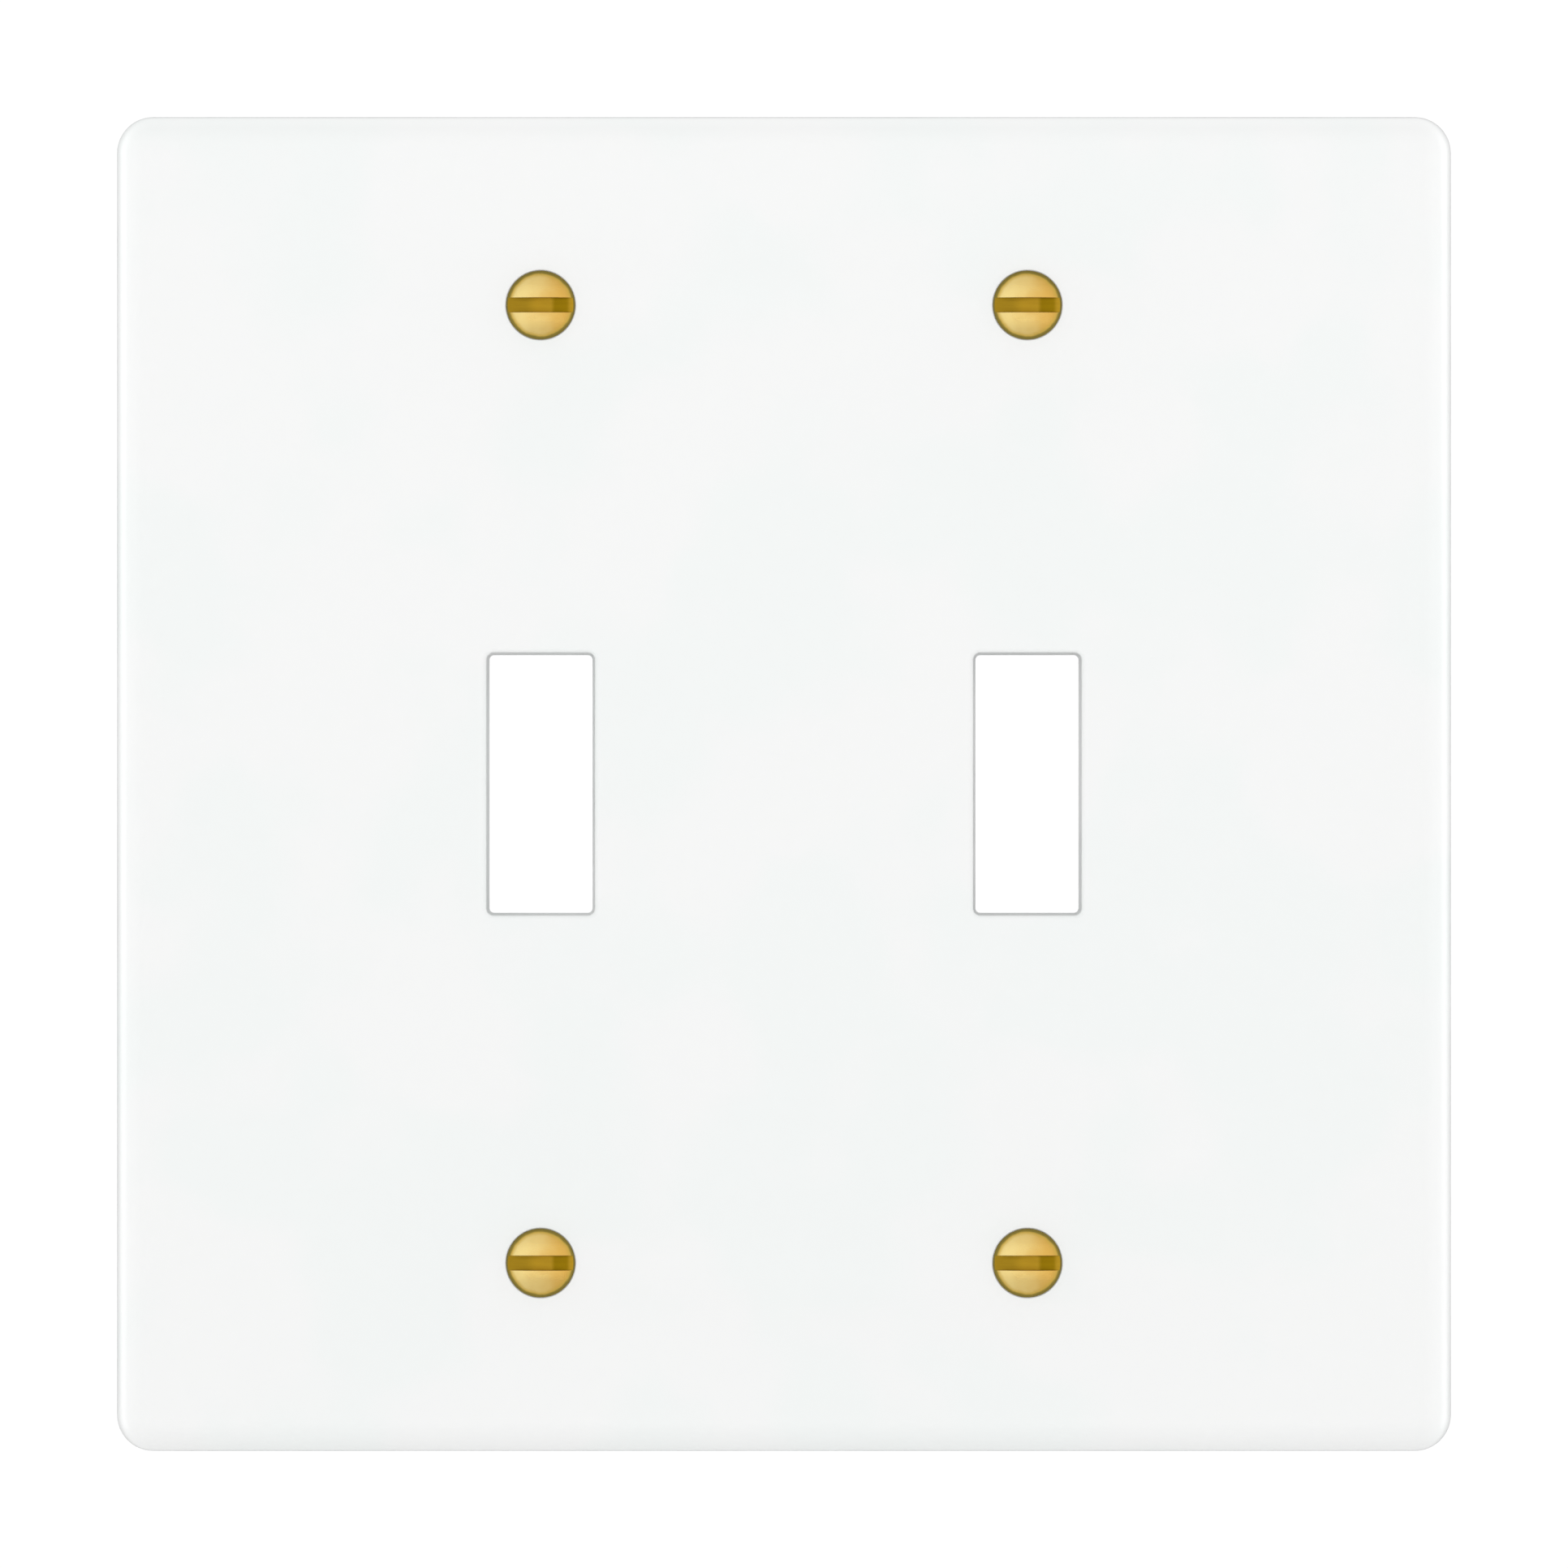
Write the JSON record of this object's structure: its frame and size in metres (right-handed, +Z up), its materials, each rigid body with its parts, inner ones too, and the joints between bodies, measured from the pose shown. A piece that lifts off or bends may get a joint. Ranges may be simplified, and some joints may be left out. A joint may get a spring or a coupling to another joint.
{
  "type": "toggle wall plate",
  "caption": "Square white wall plate that covers side-by-side toggle switches, with rectangular lever openings and slotted oval-head brass screws.",
  "frame": {"origin": "middle of the plate and of its four screws, in the plane of the wall that its rear rim lies on", "axes": "+X across the plate to the right as a person facing it sees it, +Y into the wall, +Z up; the plate's front faces -Y"},
  "size_m": [0.1264, 0.0138, 0.1264],
  "materials": {
    "plate": "smooth satin-gloss white",
    "screws": "polished brass with a darker slot"
  },
  "bodies": {
    "plate": {"wall_plate": "plate"},
    "bottom_left_screw": {"screw_bottom_left": "screws"},
    "bottom_right_screw": {"screw_bottom_right": "screws"},
    "top_left_screw": {"screw_top_left": "screws"},
    "top_right_screw": {"screw_top_right": "screws"}
  },
  "joints": [
    {"name": "bottom_left_turn", "type": "hinge", "parent": "plate", "child": "bottom_left_screw", "pos_m": [-0.02302, -0.00593, -0.0453], "axis": [0, 1, 0], "continuous": true},
    {"name": "bottom_right_turn", "type": "hinge", "parent": "plate", "child": "bottom_right_screw", "pos_m": [0.02302, -0.00593, -0.0453], "axis": [0, 1, 0], "continuous": true},
    {"name": "top_left_turn", "type": "hinge", "parent": "plate", "child": "top_left_screw", "pos_m": [-0.02302, -0.00593, 0.0453], "axis": [0, 1, 0], "continuous": true},
    {"name": "top_right_turn", "type": "hinge", "parent": "plate", "child": "top_right_screw", "pos_m": [0.02302, -0.00593, 0.0453], "axis": [0, 1, 0], "continuous": true}
  ]
}
